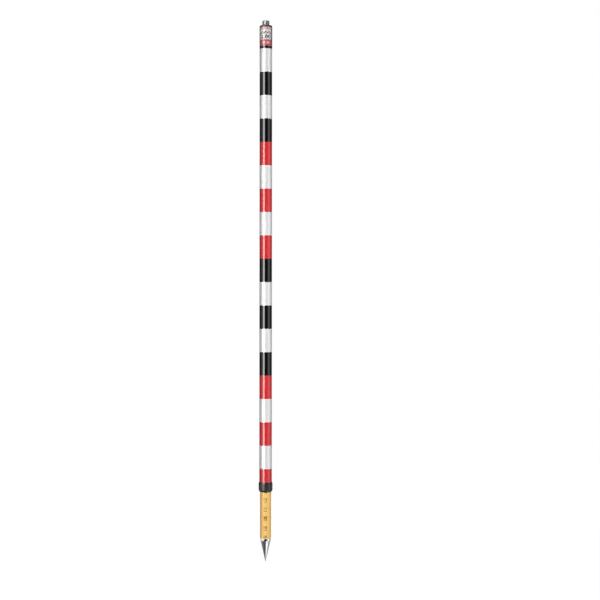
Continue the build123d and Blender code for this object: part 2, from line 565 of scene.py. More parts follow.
class Recipe(Bench):
    """A Geometry Nodes tree with named sizes, run once and kept as a plain mesh."""

    def __init__(self, name: str, sizes: dict[str, float | int]) -> None:
        """Starts the tree.

        Args:
            name: Name of the tree.
            sizes: Named inputs and their values. A whole number makes a count.
        """
        super().__init__(bpy.data.node_groups.new(name, "GeometryNodeTree"))
        self.sizes = sizes
        self.sockets = {}
        for label, value in sizes.items():
            kind = "NodeSocketInt" if isinstance(value, int) else "NodeSocketFloat"
            self.sockets[label] = self.tree.interface.new_socket(name=label, in_out="INPUT", socket_type=kind)
        self.tree.interface.new_socket(name="Geometry", in_out="OUTPUT", socket_type="NodeSocketGeometry")
        self.inputs = self.tree.nodes.new("NodeGroupInput")

    def __getitem__(self, label: str) -> Socket:
        """Gives the socket of a named size."""
        return self.inputs.outputs[label]

    def point(self, across: Source, away: Source, height: Source) -> Socket:
        """Joins three numbers into a point."""
        return self.made("ShaderNodeCombineXYZ", {0: across, 1: away, 2: height})

    def axes(self) -> tuple[Socket, ...]:
        """Gives X, Y and Z of each point that is being moved."""
        return self.split(self.made("GeometryNodeInputPosition", {}))

    def moved(self, geometry: Socket, spot: Socket) -> Socket:
        """Moves each point of a geometry to its spot."""
        return self.made("GeometryNodeSetPosition", {"Geometry": geometry, "Position": spot})

    def round_the_pole(self, radius: Source, angle: Source, height: Source) -> Socket:
        """Places a point round the pole.

        Args:
            radius: Its distance from the axis.
            angle: Its angle, counted from the scale's face to the right.
            height: Its height.

        Returns:
            The point.
        """
        across = self.math("MULTIPLY", radius, self.math("SINE", angle))
        away = self.math("MULTIPLY", radius, self.math("COSINE", angle))
        return self.point(across, self.math("MULTIPLY", away, -1.0), height)

    def bent_block(self, outer: Socket, size: Sequence[Socket], middle: Source, draft: Source) -> Socket:
        """Bends a block round the pole.

        Args:
            outer: Radius of its outer wall.
            size: Its width along that wall, its depth and its height.
            middle: Height of its middle on the pole.
            draft: How much wider it is at its root, as a share of its width.

        Returns:
            The block.
        """
        depth = size[1]
        block = self.made("GeometryNodeMeshCube", {"Size": self.point(*size), "Vertices X": BLOCK_POINTS})
        across, inward, upward = self.axes()
        sunk = self.math("ADD", inward, self.math("MULTIPLY", depth, 0.5))
        flare = self.math("ADD", self.math("MULTIPLY", self.math("DIVIDE", sunk, depth), draft), 1.0)
        angle = self.math("DIVIDE", self.math("MULTIPLY", across, flare), outer)
        radius = self.math("SUBTRACT", outer, sunk)
        return self.moved(block, self.round_the_pole(radius, angle, self.math("ADD", upward, middle)))

    def turned_copies(self, geometry: Socket, count: Socket) -> Socket:
        """Repeats a geometry evenly round the pole's axis.

        Args:
            geometry: What is repeated.
            count: Number of copies.

        Returns:
            The copies.
        """
        spots = self.made("GeometryNodeMeshLine", {"Count": count, "Offset": (0.0, 0.0, 0.0)})
        index = self.made("GeometryNodeInputIndex", {})
        angle = self.math("MULTIPLY", index, self.math("DIVIDE", FULL_TURN, count))
        feeds = {"Points": spots, "Instance": geometry, "Rotation": self.point(0.0, 0.0, angle)}
        return self.made("GeometryNodeInstanceOnPoints", feeds)

    def mesh(self, geometry: Socket, material: bpy.types.Material) -> bpy.types.Mesh:
        """Ends the tree, runs it with its sizes and gives the result.

        Args:
            geometry: What the tree has made.
            material: Finish of the result.

        Returns:
            A plain mesh, its faces outwards.
        """
        real = self.made("GeometryNodeRealizeInstances", {"Geometry": geometry})
        dressed = self.made("GeometryNodeSetMaterial", {"Geometry": real, "Material": material})
        self.node("NodeGroupOutput", {"Geometry": dressed})
        holder = new_object(self.tree.name, bpy.data.meshes.new(self.tree.name))
        modifier = holder.modifiers.new(self.tree.name, "NODES")
        modifier.node_group = self.tree
        for label, value in self.sizes.items():
            modifier[self.sockets[label].identifier] = value
        return plain_mesh(holder)


def new_object(name: str, data: bpy.types.ID) -> bpy.types.Object:
    """Links a new object at the origin.

    Args:
        name: Name of the object.
        data: Its mesh, lamp or camera.

    Returns:
        The object.
    """
    made = bpy.data.objects.new(name, data)
    bpy.context.scene.collection.objects.link(made)
    return made


def raw_mesh(name: str, points: Sequence[Sequence[float]], faces: Sequence[Sequence[int]]) -> bpy.types.Mesh:
    """Makes a mesh of points and faces as they are.

    Args:
        name: Name of the mesh.
        points: Its points.
        faces: Indices of each face's points, in order.

    Returns:
        The mesh.
    """
    mesh = bpy.data.meshes.new(name)
    mesh.from_pydata(points, [], faces)
    return mesh


def plain_mesh(holder: bpy.types.Object) -> bpy.types.Mesh:
    """Turns an object with live modifiers into a plain mesh and removes the object.

    Args:
        holder: The object.

    Returns:
        Its evaluated mesh, merged and with its faces outwards.
    """
    graph = bpy.context.evaluated_depsgraph_get()
    mesh = bpy.data.meshes.new_from_object(holder.evaluated_get(graph), depsgraph=graph)
    bpy.data.objects.remove(holder)
    shape = bmesh.new()
    shape.from_mesh(mesh)
    return finished(shape, mesh)


def merged(shape: bmesh.types.BMesh) -> None:
    """Joins the points of a shape that lie in one place and drops the faces that have no area left."""
    bmesh.ops.remove_doubles(shape, verts=shape.verts, dist=SAME_PLACE)
    bmesh.ops.dissolve_degenerate(shape, edges=shape.edges, dist=SAME_PLACE)


def finished(shape: bmesh.types.BMesh, mesh: bpy.types.Mesh) -> bpy.types.Mesh:
    """Turns a shape's faces outwards and writes it to a mesh, smooth apart from its sharp edges.

    Args:
        shape: The shape, which is freed.
        mesh: The mesh that takes it.

    Returns:
        The mesh.
    """
    merged(shape)
    bmesh.ops.recalc_face_normals(shape, faces=shape.faces)
    shape.to_mesh(mesh)
    shape.free()
    mesh.shade_smooth()
    mesh.set_sharp_from_angle(angle=SHARP_EDGE)
    return mesh


def eased(corners: Sequence[Corner], steps: int = 4) -> list[Point]:
    """Rounds the corners of a closed outline. A point past each rounding keeps the walls' shading straight.

    Args:
        corners: Radius, height and easing of each corner, in order. An easing of 0 stays sharp.
        steps: Short edges in each rounded corner.

    Returns:
        Radius and height of each point of the rounded outline.
    """
    points = []
    for index, (radius, height, easing) in enumerate(corners):
        here = Vector((radius, height))
        if easing == 0:
            points.append(here)
            continue
        back = Vector(corners[index - 1][:2]) - here
        onward = Vector(corners[(index + 1) % len(corners)][:2]) - here
        reach = min(easing, EASED_SHARE * back.length, EASED_SHARE * onward.length)
        start = here + back.normalized() * reach
        end = here + onward.normalized() * reach
        points.append(here + back.normalized() * min(HOLD * reach, HELD_SHARE * back.length))
        for step in range(steps + 1):
            share = step / steps
            points.append(start * (1 - share) ** 2 + here * 2 * share * (1 - share) + end * share**2)
        points.append(here + onward.normalized() * min(HOLD * reach, HELD_SHARE * onward.length))
    return [(point.x, point.y) for point in points]


def add_turning(shape: bmesh.types.BMesh, outline: Sequence[Point], around: int) -> None:
    """Turns a closed outline about the pole's axis into a shape.

    Args:
        shape: The shape that it joins.
        outline: Radius and height of each point, in order. Points on the axis become poles.
        around: Facets round the axis.
    """
    rings = []
    for radius, height in outline:
        if radius < AXIS:
            rings.append([shape.verts.new((0.0, 0.0, height))])
            continue
        ring = []
        for step in range(around):
            angle = FULL_TURN * step / around
            ring.append(shape.verts.new((radius * math.sin(angle), -radius * math.cos(angle), height)))
        rings.append(ring)
    for index, ring in enumerate(rings):
        following = rings[(index + 1) % len(rings)]
        if len(ring) == len(following) == 1:
            continue
        for step in range(around):
            after = step + 1
            corners = (
                ring[step % len(ring)],
                ring[after % len(ring)],
                following[after % len(following)],
                following[step % len(following)],
            )
            shape.faces.new(dict.fromkeys(corners))


def turned_mesh(name: str, outlines: Iterable[Sequence[Point]], around: int = AROUND) -> bpy.types.Mesh:
    """Makes a mesh of one or more turned outlines.

    Args:
        name: Name of the mesh.
        outlines: Closed outlines of radius and height.
        around: Facets round the axis.

    Returns:
        The mesh, its faces outwards.
    """
    shape = bmesh.new()
    for outline in outlines:
        add_turning(shape, outline, around)
    return finished(shape, bpy.data.meshes.new(name))


def tube_outline(foot: float, top: float, radius: float, wall: float, easing: float) -> list[Point]:
    """Gives the outline of a plain tube with eased rims."""
    bore = radius - wall
    return eased([(bore, foot, easing), (radius, foot, easing), (radius, top, easing), (bore, top, easing)])


def tube_mesh(name: str, place: Place, wall: float, easing: float) -> bpy.types.Mesh:
    """Turns a plain tube with eased rims where a node lies."""
    return turned_mesh(name, [tube_outline(place.foot, place.top, place.radius, wall, easing)])


def rims(mesh: bpy.types.Mesh) -> list[Loop]:
    """Follows each rim of a flat mesh round, with the mesh on its left.

    Args:
        mesh: The mesh, its faces towards +Z. It is removed.

    Returns:
        The points of each rim.
    """
    shape = bmesh.new()
    shape.from_mesh(mesh)
    bpy.data.meshes.remove(mesh)
    bmesh.ops.remove_doubles(shape, verts=shape.verts, dist=SAME_CORNER)
    onward = {}
    for edge in shape.edges:
        if edge.is_boundary:
            corner = edge.link_loops[0]
            onward[corner.vert] = corner.link_loop_next.vert
    found = []
    while onward:
        start, here = onward.popitem()
        rim = [start.co.xy]
        while here != start:
            rim.append(here.co.xy)
            here = onward.pop(here)
        found.append(rim)
    shape.free()
    return found


def fattened(rim: Loop, weight: float) -> Loop:
    """Moves a rim outwards. The rim of a small hole gives way less, so that the hole stays open.

    Args:
        rim: Points of the rim.
        weight: How far each of its edges moves.

    Returns:
        The moved points.
    """
    steps = [after - spot for spot, after in zip(rim, rim[1:] + rim[:1])]
    sides = [Vector((step.y, -step.x)).normalized() for step in steps]
    room = -sum(spot.cross(step) for spot, step in zip(rim, steps)) / sum(step.length for step in steps)
    reach = min(weight, HOLE_SHARE * room) if room > 0 else weight
    moved = []
    for spot, before, after in zip(rim, sides[-1:] + sides[:-1], sides):
        moved.append(spot + (before + after) * (reach / (1 + before.dot(after))))
    return moved


def unlooped(rim: Loop) -> Loop:
    """Cuts out the small loops that a rim runs where it crosses itself in a tight corner.

    Args:
        rim: Points of the rim.

    Returns:
        The points that are left, with one where the rim met itself.
    """
    for span in range(min(LOOP_REACH, len(rim) - 2), 1, -1):
        for first in range(len(rim)):
            turned = rim[first:] + rim[:first]
            meeting = intersect_line_line_2d(turned[0], turned[1], turned[span], turned[span + 1])
            if meeting:
                return unlooped([turned[0], meeting, *turned[span + 1 :]])
    return rim


def filled(loops: Sequence[Loop]) -> bmesh.types.BMesh:
    """Fills flat rims, apart from the holes in them.

    Args:
        loops: Points of each rim, in order.

    Returns:
        The flat shape.
    """
    points = []
    outlines = []
    for loop in loops:
        outlines.append(range(len(points), len(points) + len(loop)))
        points.extend(loop)
    points, _, faces, *_ = delaunay_2d_cdt(points, [], outlines, OPEN_HOLES, SAME_PLACE)
    shape = bmesh.new()
    verts = [shape.verts.new((*point, 0.0)) for point in points]
    for face in faces:
        shape.faces.new([verts[index] for index in face])
    return shape


def drilled(mesh: bpy.types.Mesh, cutter: bpy.types.Mesh) -> bpy.types.Mesh:
    """Cuts one mesh out of another.

    Args:
        mesh: The piece.
        cutter: What is cut out of it.

    Returns:
        The cut piece.
    """
    holder = new_object(mesh.name, mesh)
    tool = new_object("cutter", cutter)
    cut = holder.modifiers.new("cut", "BOOLEAN")
    cut.operation = "DIFFERENCE"
    cut.solver = "EXACT"
    cut.object = tool
    result = plain_mesh(holder)
    bpy.data.objects.remove(tool)
    return result


def piece(
    name: str,
    mesh: bpy.types.Mesh,
    body: Body,
    material: bpy.types.Material,
    stands_for: str | None = None,
) -> None:
    """Makes a finished piece of the pole.

    Args:
        name: Name of the piece.
        mesh: Its mesh, already in place.
        body: Body that it rides on.
        material: Its finish.
        stands_for: Node of the frame that it replaces, if any.
    """
    mesh.name = name
    mesh.materials.clear()
    mesh.materials.append(material)
    made = new_object(name, mesh)
    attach(made, body.value)
    if stands_for:
        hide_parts(stands_for)
    LOG.info("%s: %d faces on %s", name, len(mesh.polygons), body.value)


@dataclass(frozen=True)
class TypeFace:
    """How a printed number is cut: its size, the fattening of its strokes, in type sizes, and its spacing.

    The kernings are fortieths of a step: how much wider pairs with no one, one and two ones in them stand.
    """

    width: float
    height: float
    weight: float
    spacing: float = 1.0
    kernings: tuple[float, float, float] = (0.0, 0.0, -18.0)
    smoothness: int = 6


@dataclass(frozen=True)
class FlatPrint:
    """A flat printed figure, in metres, that can be wrapped round the pole."""

    points: list[Point]
    faces: list[tuple[int, ...]]
    rim: list[tuple[int, int]]

    @classmethod
    def of_rims(cls, loops: Sequence[Loop], width: float, height: float) -> "FlatPrint":
        """Fits rims to a size, fills them and slices the fill upright, so that it can follow a round wall.

        Args:
            loops: Points of each rim, with the print on its left.
            width: Width that they are fitted to.
            height: Height that they are fitted to.

        Returns:
            The print, centred on its own middle.
        """
        across = [spot.x for loop in loops for spot in loop]
        upward = [spot.y for loop in loops for spot in loop]
        middle = Vector((min(across) + max(across), min(upward) + max(upward))) / 2
        fit = Vector((width / (max(across) - min(across)), height / (max(upward) - min(upward))))
        shape = filled([[(spot - middle) * fit for spot in loop] for loop in loops])
        slices = math.ceil(width / PRINT_SLICE)
        aside = Vector((1.0, 0.0, 0.0))
        for step in range(1, slices):
            every = shape.verts[:] + shape.edges[:] + shape.faces[:]
            cut = aside * (width * (step / slices - 0.5))
            bmesh.ops.bisect_plane(shape, geom=every, dist=ON_CUT, plane_co=cut, plane_no=aside)
        merged(shape)
        shape.verts.index_update()
        points = [(vert.co.x, vert.co.y) for vert in shape.verts]
        faces = [tuple(vert.index for vert in face.verts) for face in shape.faces]
        edges = [edge.verts for edge in shape.edges if len(edge.link_faces) == 1]
        rim = [(start.index, end.index) for start, end in edges]
        shape.free()
        return cls(points, faces, rim)

    @classmethod
    def of_figures(cls, figures: str, face: TypeFace) -> "FlatPrint":
        """Sets a number in type.

        Args:
            figures: The number.
            face: How its figures are sized, cut and spaced.

        Returns:
            The print.
        """
        curve = bpy.data.curves.new("figures", "FONT")
        curve.body = figures
        curve.resolution_u = face.smoothness
        curve.space_character = face.spacing
        for index, pair in enumerate(zip(figures, figures[1:])):
            curve.body_format[index].kerning = face.kernings[pair.count("1")]
        holder = bpy.data.objects.new("figures", curve)
        mesh = bpy.data.meshes.new_from_object(holder)
        bpy.data.objects.remove(holder)
        bpy.data.curves.remove(curve)
        loops = [unlooped(fattened(rim, face.weight)) for rim in rims(mesh)]
        return cls.of_rims(loops, face.width, face.height)

    @classmethod
    def of_bar(cls, width: float, height: float) -> "FlatPrint":
        """Makes a plain bar."""
        corners = (0.0, 0.0), (width, 0.0), (width, height), (0.0, height)
        return cls.of_rims([[Vector(corner) for corner in corners]], width, height)


@dataclass(frozen=True)
class Stamp:
    """A print set down on a round wall."""

    print: FlatPrint
    bearing: float
    height: float


@dataclass(frozen=True)
class InkLayer:
    """A layer of ink on a round wall: how far it reaches under the wall and stands out of it."""

    sunk: float
    proud: float

    def mesh(self, name: str, stamps: Iterable[Stamp], wall: float) -> bpy.types.Mesh:
        """Wraps prints round the pole as thin closed layers.

        Args:
            name: Name of the mesh.
            stamps: The prints and where they are set.
            wall: Radius of the wall under them.

        Returns:
            The mesh of all the prints.
        """
        points = []
        faces = []
        for stamp in stamps:
            flat = stamp.print
            outer = len(points)
            inner = outer + len(flat.points)
            for radius in (wall + self.proud, wall - self.sunk):
                for across, upward in flat.points:
                    angle = stamp.bearing + across / wall
                    height = stamp.height + upward
                    points.append((radius * math.sin(angle), -radius * math.cos(angle), height))
            faces.extend([tuple(outer + index for index in face) for face in flat.faces])
            faces.extend([tuple(inner + index for index in reversed(face)) for face in flat.faces])
            faces.extend([(outer + a, outer + b, inner + b, inner + a) for a, b in flat.rim])
        mesh = raw_mesh(name, points, faces)
        shape = bmesh.new()
        shape.from_mesh(mesh)
        return finished(shape, mesh)


@dataclass
class GroundPoint:
    """Steel point: a turned cone, its shoulder with the tommy bar hole, and the shank that holds it.

    The nose's flat, crown, side and easing are shares of its radius.
    """

    cone_height: float = 45 * MM
    cone_top_radius: float = 11.0 * MM
    cone_easing: float = 0.15 * MM
    nose_radius: float = 0.6 * MM
    nose_flat: float = 0.55
    nose_crown: float = 0.12
    nose_side: float = 0.75
    nose_easing: float = 0.3
    shoulder_break: float = 0.4 * MM
    shoulder_easing: float = 0.1 * MM
    shank_radius: float = 6.0 * MM
    shank_easing: float = 0.5 * MM
    hole_radius: float = 2.1 * MM
    hole_flare: float = 0.2 * MM

    def build(self) -> bpy.types.Mesh:
        """Turns the point and drills its hole.

        Returns:
            The mesh of the point.
        """
        place = Place.of("tip_point")
        shoulder_top = Place.of("inner_tube").foot
        nose = self.nose_radius
        outline = eased(
            [
                (0.0, place.foot, 0.0),
                (nose * self.nose_flat, place.foot + nose * self.nose_crown, nose * self.nose_easing),
                (nose, place.foot + nose * self.nose_side, nose * self.nose_easing),
                (self.cone_top_radius, self.cone_height, self.cone_easing),
                (place.radius, self.cone_height + self.shoulder_break, self.shoulder_easing),
                (place.radius, shoulder_top, self.shoulder_easing),
                (self.shank_radius, shoulder_top, 0.0),
                (self.shank_radius, place.top, self.shank_easing),
                (0.0, place.top, 0.0),
            ]
        )
        return drilled(turned_mesh("ground_point", [outline]), self.hole_cutter(place.radius))

    def hole_height(self) -> float:
        """Height of the tommy bar hole, half way up the shoulder."""
        return (self.cone_height + Place.of("inner_tube").foot) / 2

    def hole_cutter(self, wall: float) -> bpy.types.Mesh:
        """Makes the cutter of the tommy bar hole.

        Args:
            wall: Radius of the shoulder.

        Returns:
            A rod along Y with flared ends.
        """
        end = wall + self.hole_flare
        start = wall - 2 * self.hole_flare
        flare = self.hole_radius + 2 * self.hole_flare
        outline = [
            (0.0, -end),
            (flare, -end),
            (self.hole_radius, -start),
            (self.hole_radius, start),
            (flare, end),
            (0.0, end),
        ]
        mesh = turned_mesh("tommy_hole", [outline], HOLE_AROUND)
        raised = Matrix.Translation((0.0, 0.0, self.hole_height()))
        mesh.transform(raised @ Matrix.Rotation(math.pi / 2, 4, "X"))
        return mesh

    def dress(self) -> None:
        """Builds the point in turned steel."""
        # the hole's wall is darkened with painted shade
        hole = CrossHole(self.hole_height(), self.hole_radius + 2 * self.hole_flare)
        steel = WorkedMetal("point_turned_steel", (0.60, 0.60, 0.60), roughness=0.16, hole=hole)
        piece("ground_point", self.build(), Body.LOWER_POLE, steel.material(), "tip_point")


@dataclass
class ScaleTube:
    """Yellow inner tube with its printed scale, which counts from the point and starts at one metre.

    The drops are how far under its line a number starts.
    """

    wall: float = 1.2 * MM
    rim_easing: float = 0.3 * MM
    columns: int = 4
    step: float = 10 * MM
    first_reading: int = 106
    last_reading: int = 198
    zero_reading: int = 100
    bold_every: int = 10
    plain_face: TypeFace = TypeFace(6.8 * MM, 6.0 * MM, weight=0.002)
    plain_drop: float = 1.9 * MM
    bold_face: TypeFace = TypeFace(
        6.6 * MM, 7.6 * MM, weight=0.055, spacing=1.1, kernings=(9.0, 0.0, -18.0)
    )
    bold_drop: float = 1.0 * MM
    dash_width: float = 6.4 * MM
    dash_height: float = 1.1 * MM
    layer: InkLayer = InkLayer(sunk=0.05 * MM, proud=0.015 * MM)

    def reading_height(self, reading: int) -> float:
        """Height of a reading's line above the end of the point."""
        return (reading - self.zero_reading) * self.step

    def build_figures(self) -> bpy.types.Mesh:
        """Prints a number under each even centimetre, larger and bolder at each decimetre.

        Returns:
            The mesh of all the numbers.
        """
        plain = self.plain_face, self.plain_drop
        bold = self.bold_face, self.bold_drop
        stamps = []
        for reading in range(self.first_reading, self.last_reading + 1, 2):
            face, drop = plain if reading % self.bold_every else bold
            figures = FlatPrint.of_figures(str(reading), face)
            middle = self.reading_height(reading) - drop - face.height / 2
            for column in range(self.columns):
                stamps.append(Stamp(figures, FULL_TURN * column / self.columns, middle))
        return self.layer.mesh("scale_figures", stamps, Place.of("inner_tube").radius)

    def build_dashes(self, ink: bpy.types.Material) -> bpy.types.Mesh:
        """Prints a dash under each odd centimetre.

        Args:
            ink: Finish of the dashes.

        Returns:
            The mesh of all the dashes.
        """
        recipe = Recipe(
            "scale_dashes",
            {
                "Ink Wall": Place.of("inner_tube").radius + self.layer.proud,
                "Ink Depth": self.layer.sunk + self.layer.proud,
                "Dash Width": self.dash_width,
                "Dash Height": self.dash_height,
                "First Height": self.reading_height(self.first_reading + 1) - self.dash_height / 2,
                "Spacing": 2 * self.step,
                "Count": (self.last_reading - self.first_reading) // 2 + 1,
                "Columns": self.columns,
            },
        )
        size = recipe["Dash Width"], recipe["Ink Depth"], recipe["Dash Height"]
        dash = recipe.bent_block(recipe["Ink Wall"], size, 0.0, 0.0)
        rows = {
            "Count": recipe["Count"],
            "Start Location": recipe.point(0.0, 0.0, recipe["First Height"]),
            "Offset": recipe.point(0.0, 0.0, recipe["Spacing"]),
        }
        spots = recipe.made("GeometryNodeMeshLine", rows)
        column = recipe.made("GeometryNodeInstanceOnPoints", {"Points": spots, "Instance": dash})
        return recipe.mesh(recipe.turned_copies(column, recipe["Columns"]), ink)

    def dress(self) -> None:
        """Builds the tube in its yellow coat and prints its scale."""
        coat = ScaleCoat().material()
        ink = PrintInk("scale_ink", (0.022, 0.014, 0.005), (0.052, 0.033, 0.012)).material()
        tube = tube_mesh("scale_tube", Place.of("inner_tube"), self.wall, self.rim_easing)
        piece("scale_tube", tube, Body.LOWER_POLE, coat, "inner_tube")
        piece("scale_figures", self.build_figures(), Body.LOWER_POLE, ink)
        piece("scale_dashes", self.build_dashes(ink), Body.LOWER_POLE, ink)


@dataclass
class BandStack:
    """Outer tube and the film bands shrunk round it, black or red with white between."""

    tube_wall: float = 1.0 * MM
    rim_easing: float = 0.25 * MM
    film_thickness: float = 0.18 * MM
    film_easing: float = 0.06 * MM
    collar_reach: float = 1.0 * MM
    collar_gap: float = 0.1 * MM
    pin_hole_radius: float = 2.02 * MM
    pin_hole_facets: int = 32
    pin_count: int = 3

    def build_tube(self) -> bpy.types.Mesh:
        """Turns the aluminium tube and drills it for the pins of the head.

        Returns:
            The mesh of the tube.
        """
        place = Place.of("outer_tube")
        mesh = tube_mesh("outer_tube", place, self.tube_wall, self.rim_easing)
        return drilled(mesh, self.pin_holes(place.radius - self.tube_wall, place.radius + self.tube_wall))

    def pin_holes(self, start: float, end: float) -> bpy.types.Mesh:
        """Makes the cutter of the pin holes.

        Args:
            start: Radius at which the holes start.
            end: Radius at which they end.

        Returns:
            A ring of radial rods.
        """
        pins = Place.of("plug_pins")
        middle = Vector(((start + end) / 2, 0.0, (pins.foot + pins.top) / 2))
        lay = Matrix.Translation(middle) @ Matrix.Rotation(math.pi / 2, 4, "Y")
        shape = bmesh.new()
        for index in range(self.pin_count):
            turn = Matrix.Rotation(FULL_TURN * index / self.pin_count, 4, "Z")
            bmesh.ops.create_cone(
                shape,
                cap_ends=True,
                segments=self.pin_hole_facets,
                radius1=self.pin_hole_radius,
                radius2=self.pin_hole_radius,
                depth=(end - start) * 2,
                matrix=turn @ lay,
            )
        mesh = bpy.data.meshes.new("pin_holes")
        shape.to_mesh(mesh)
        shape.free()
        return mesh

    def build_bands(self, node: str) -> bpy.types.Mesh:
        """Turns every band of one colour, at the heights where the frame has them.

        Args:
            node: The node of that colour.

        Returns:
            The mesh of the bands. The lowest film of the pole runs down to the collar.
        """
        heights = sorted({round(vert.co.z, HEIGHT_DIGITS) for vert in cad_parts[node].data.vertices})
        radius = Place.of(node).radius
        collar_top = Place.of("lock_collar").top
        outlines = []
        for foot, top in zip(heights[0::2], heights[1::2]):
            if foot - collar_top < self.collar_reach:
                foot = collar_top + self.collar_gap
            outlines.append(tube_outline(foot, top, radius, self.film_thickness, self.film_easing))
        return turned_mesh(node, outlines)

    def dress(self) -> None:
        """Builds the tube in bare aluminium and the bands in gloss film."""
        metal = WorkedMetal("tube_drawn_aluminium", (0.75, 0.76, 0.77), roughness=0.3, mark=ToolMark.DRAWN)
        tube = self.build_tube()
        piece("banded_tube", tube, Body.UPPER_POLE, metal.material(), "outer_tube")
        films = {
            "white": GlossFilm(
                "band_white_film",
                (0.74, 0.737, 0.738),
                (0.45, 0.44, 0.43),
                shine=0.9,
                roughness=0.40,
                face=1.0,
            ),
            "red": GlossFilm("band_red_film", (0.66, 0.029, 0.035), (0.28, 0.03, 0.035)),
            "black": GlossFilm("band_black_film", (0.003, 0.003, 0.0033), (0.05, 0.05, 0.05)),
        }
        for colour, film in films.items():
            node = f"{colour}_bands"
            name = f"{colour}_film"
            piece(name, self.build_bands(node), Body.UPPER_POLE, film.material(), node)


@dataclass
class HeadLabel:
    """Wrap-round label under the head: red with plain bars, white with the pole's length, and pale on top.

    The heights count from the label's foot.
    """

    thickness: float = 0.18 * MM
    easing: float = 0.06 * MM
    white_foot: float = 13.5 * MM
    pale_foot: float = 34.5 * MM
    # half width of the front and back panels; past it the label's sides are painted black as shade
    half_panel: float = 11.6 * MM
    figures: str = "2.00"
    figure_face: TypeFace = TypeFace(22.0 * MM, 8.2 * MM, weight=0.03, spacing=1.06, smoothness=8)
    figure_middle: float = 19.8 * MM
    gauge_blocks: int = 7
    gauge_block_width: float = 3.6 * MM
    gauge_block_height: float = 2.4 * MM
    gauge_block_gap: float = 0.02 * MM
    gauge_foot: float = 25.9 * MM
    bar_width: float = 7.2 * MM
    bar_height: float = 4.4 * MM
    bar_gap: float = 2.2 * MM
    bar_middle: float = 6.8 * MM
    repeats: int = 2
    layer: InkLayer = InkLayer(sunk=0.04 * MM, proud=0.012 * MM)

    def bearings(self) -> list[float]:
        """Bearings of the label's faces."""
        return [FULL_TURN * repeat / self.repeats for repeat in range(self.repeats)]

    def build_figures(self) -> bpy.types.Mesh:
        """Prints the open pole's length in metres on the white field, under a row of staggered blocks.

        Returns:
            The mesh of the figures and the blocks.
        """
        figures = FlatPrint.of_figures(self.figures, self.figure_face)
        block = FlatPrint.of_bar(self.gauge_block_width - self.gauge_block_gap, self.gauge_block_height)
        place = Place.of("head_label")
        stamps = []
        for bearing in self.bearings():
            stamps.append(Stamp(figures, bearing, place.foot + self.figure_middle))
            for index in range(self.gauge_blocks):
                offset = (index - (self.gauge_blocks - 1) / 2) * self.gauge_block_width / place.radius
                middle = self.gauge_foot + self.gauge_block_height * (0.5 + index % 2)
                stamps.append(Stamp(block, bearing + offset, place.foot + middle))
        return self.layer.mesh("label_figures", stamps, place.radius)

    def build_bars(self) -> bpy.types.Mesh:
        """Prints the pair of pale bars on the red field.

        Returns:
            The mesh of the bars.
        """
        bar = FlatPrint.of_bar(self.bar_width, self.bar_height)
        place = Place.of("head_label")
        offset = (self.bar_width + self.bar_gap) / 2 / place.radius
        stamps = []
        for bearing in self.bearings():
            for side in (-offset, offset):
                stamps.append(Stamp(bar, bearing + side, place.foot + self.bar_middle))
        return self.layer.mesh("label_bars", stamps, place.radius)

    def dress(self) -> None:
        """Builds the label and its print."""
        place = Place.of("head_label")
        foot = place.foot
        paper = LabelPaper(foot, foot + self.white_foot, foot + self.pale_foot, self.half_panel).material()
        black = PrintInk("label_black_ink", (0.02, 0.02, 0.022), (0.06, 0.06, 0.06)).material()
        pale = PrintInk("label_pale_ink", (0.78, 0.40, 0.40), (0.66, 0.32, 0.32)).material()
        wrap = tube_mesh("label_wrap", place, self.thickness, self.easing)
        piece("label_wrap", wrap, Body.UPPER_POLE, paper, "head_label")
        piece("label_figures", self.build_figures(), Body.UPPER_POLE, black)
        piece("label_bars", self.build_bars(), Body.UPPER_POLE, pale)


